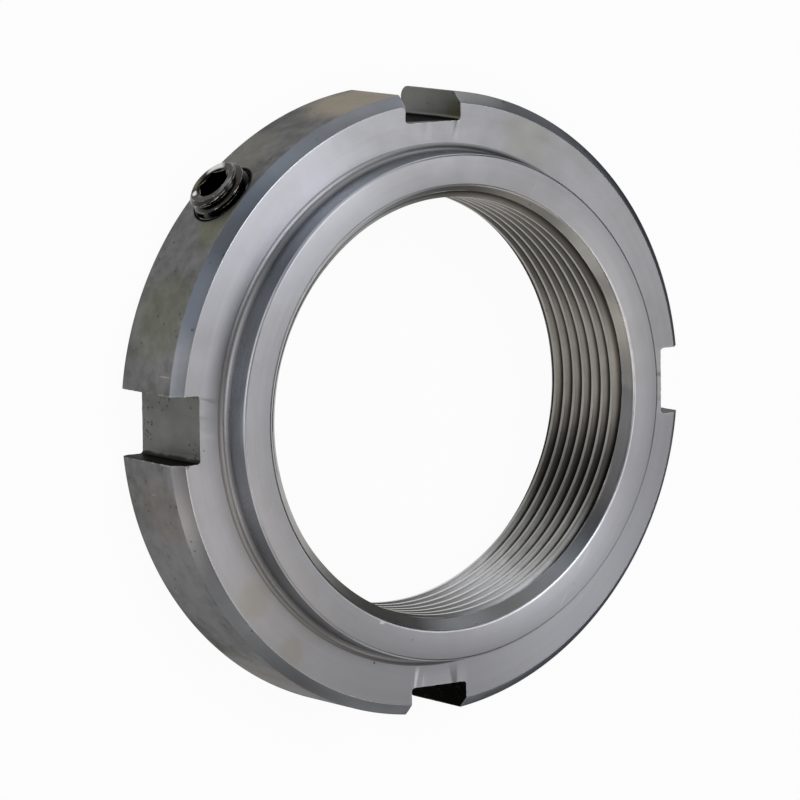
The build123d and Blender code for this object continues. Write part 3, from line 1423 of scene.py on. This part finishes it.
@dataclass
class Studio:
    """The pale floor, the soft lights and the camera."""

    thickness: float
    tilt_across: float = 0.6189
    tilt_up: float = 0.1257
    roll: float = 0.014
    camera_offset: Vector = field(default_factory=lambda: Vector((0.007047, -0.001063, -0.803929)))
    focal_pixels: float = 6420.0
    sensor: float = 36.0
    near_clip: float = 0.01
    floor_size: float = 3.0
    floor_colour: Colour = (0.88, 0.88, 0.88)
    floor_glow: float = 0.95
    panel_core: float = math.radians(5.0)
    panel_rim: float = math.radians(19.0)
    panels: tuple[Panel, ...] = (
        Panel(az=0, up=64, colour=(1.15, 1.12, 1.15)),
        Panel(az=72, up=64, colour=(3.85, 4.00, 4.25)),
        Panel(az=216, up=64, colour=(1.82, 1.73, 1.64)),
        Panel(az=288, up=64, colour=(1.38, 1.28, 1.18)),
        Panel(az=108, up=20, colour=(0.58, 0.67, 0.82)),
        Panel(az=180, up=20, colour=(2.00, 1.99, 2.15)),
        Panel(az=216, up=20, colour=(1.90, 1.82, 1.75)),
        Panel(az=252, up=20, colour=(1.10, 1.09, 1.05)),
        Panel(az=288, up=20, colour=(1.08, 1.04, 1.00)),
        Panel(az=60, up=4, colour=(1.36, 1.39, 1.48)),
        Panel(az=330, up=4, colour=(2.40, 2.50, 2.70)),
    )
    lamps: tuple[Lamp, ...] = (
        Lamp("side_lamp", (0.22, 0.05, 0.30), 0.20, 0.064),
        Lamp("low_lamp", (-0.20, 0.10, 0.10), 0.15, 0.084),
        Lamp("back_lamp", (0.0, 0.30, 0.10), 0.20, 0.095),
    )

    def camera(self) -> None:
        """Set the camera that looks down on the nut at the photograph's angle."""
        turns = zip((self.tilt_up, self.tilt_across, self.roll), "XYZ")
        up, across, roll = (Matrix.Rotation(angle, 3, axis) for angle, axis in turns)
        turned = (up @ across @ roll).transposed()
        eye = Vector((0.0, 0.0, self.thickness)) - turned @ self.camera_offset
        data = bpy.data.cameras.new("camera")
        data.sensor_width = self.sensor
        data.lens = self.focal_pixels / PHOTO_PIXELS * self.sensor
        data.clip_start = self.near_clip
        camera = show("camera", data)
        camera.matrix_world = Matrix.Translation(eye) @ turned.to_4x4()
        bpy.context.scene.camera = camera

    def floor(self) -> None:
        """Lay the plain pale floor, which shows white and keeps a soft shadow."""
        builder = bmesh.new()
        bmesh.ops.create_grid(builder, x_segments=1, y_segments=1, size=self.floor_size / 2)
        material = bpy.data.materials.new("pale_floor")
        material.use_nodes = True
        sketch = TreeSketch(material.node_tree)
        material.node_tree.nodes.clear()
        matt = sketch.run("ShaderNodeBsdfDiffuse", {"Color": self.floor_colour})
        glow = sketch.run("ShaderNodeEmission", {"Color": (1.0, 1.0, 1.0)})
        path = sketch.add("ShaderNodeLightPath")
        seen = sketch.math("MAXIMUM", path["Is Camera Ray"], path["Is Glossy Ray"])
        seen = sketch.math("MAXIMUM", seen, path["Is Transmission Ray"])
        blend = sketch.run("ShaderNodeMixShader", {"Fac": seen * self.floor_glow, 1: matt, 2: glow})
        sketch.add("ShaderNodeOutputMaterial", {"Surface": blend})
        floor = show("studio_floor", as_mesh("studio_floor", builder, [material]))

    def world(self) -> None:
        """Light the scene with a soft dome and the large soft panels in it."""
        world = bpy.data.worlds.new("studio_dome")
        world.use_nodes = True
        bpy.context.scene.world = world
        sketch = TreeSketch(world.node_tree)
        backdrop = world.node_tree.nodes["Background"]
        path = sketch.add("ShaderNodeLightPath")
        heading = sketch.add("ShaderNodeTexCoord")["Generated"]
        dome: Value = (0.0, 0.0, 0.0)
        rim, core = math.cos(self.panel_rim), math.cos(self.panel_core)
        for panel in self.panels:
            lean = sketch.vector_math("DOT_PRODUCT", heading, panel.direction())
            dome = sketch.mix(sketch.remap(lean, rim, core), dome, panel.colour, "ADD")
        shown = sketch.math("MAXIMUM", path["Is Camera Ray"], path["Is Transmission Ray"])
        sketch.feed(backdrop.inputs["Color"], sketch.mix(shown, dome, (1.0, 1.0, 1.0)))
        backdrop.inputs["Strength"].default_value = 1.0

    def hang(self, lamp: Lamp) -> None:
        """Hang one lamp so that it faces the nut.

        Args:
            lamp: The lamp.
        """
        data = bpy.data.lights.new(lamp.name, "AREA")
        data.size = lamp.size
        data.energy = lamp.power
        place_at = Vector(lamp.place_at)
        aim = Vector((0.0, 0.0, self.thickness / 2)) - place_at
        turned = aim.to_track_quat("-Z", "Y").to_matrix().to_4x4()
        show(lamp.name, data).matrix_world = Matrix.Translation(place_at) @ turned

    def build(self) -> None:
        """Set up the whole studio."""
        self.camera()
        self.floor()
        self.world()
        for lamp in self.lamps:
            self.hang(lamp)


def main() -> None:
    """Build the pieces in order, put each on its body and report it."""
    logging.basicConfig(level=logging.INFO, format="%(message)s")
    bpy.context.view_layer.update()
    bpy.context.scene.view_settings.view_transform = "Standard"

    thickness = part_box("nut_body")[1].z
    start = math.radians(-75.0)
    bore = ThreadForm(Handed.INTERNAL, nominal_radius=27.5 * MM, pitch=2.0 * MM, start=start)
    device = LockDevice(outer_radius=39.5 * MM)
    wall = device.outer_radius - bore.crest_radius
    nut = NutBody(device, bore, device.outer_radius, thickness)
    major = device.screw_radius - device.thread_allowance
    screw = SetScrew(
        device,
        ThreadForm(Handed.EXTERNAL, nominal_radius=major, pitch=1.25 * MM),
        length=wall - device.pad_length + device.protrusion,
    )
    pad = ClampingPad(device, bore, thread_start=nut.mouth_drop)

    makers = (turning_marks_group, mottle_group, pits_group, edge_wear_and_glint_group, scratches_group, stain_and_light_group)
    groups = {tree.name: tree for tree in (maker() for maker in makers)}
    finishes = {finish.name: finish.build(groups) for finish in FINISHES}
    trees = {tree.name: tree for tree in (threaded_wall_tree(), polar_cut_tree())}

    for piece, body, node, slot in (
        (nut.build(trees, finishes), "nut", "nut_body", "nut_steel"),
        (screw.build(trees, finishes), "screw", "set_screw", "black_screw_steel"),
        (pad.build(finishes), "pad", "clamping_pad", "pad_brass"),
    ):
        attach(piece, body)
        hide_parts(node)
        LOG.info("%s rides on %s with %d faces", piece.name, body, len(piece.data.polygons))

    Studio(thickness).build()


if __name__ == "__main__":
    main()
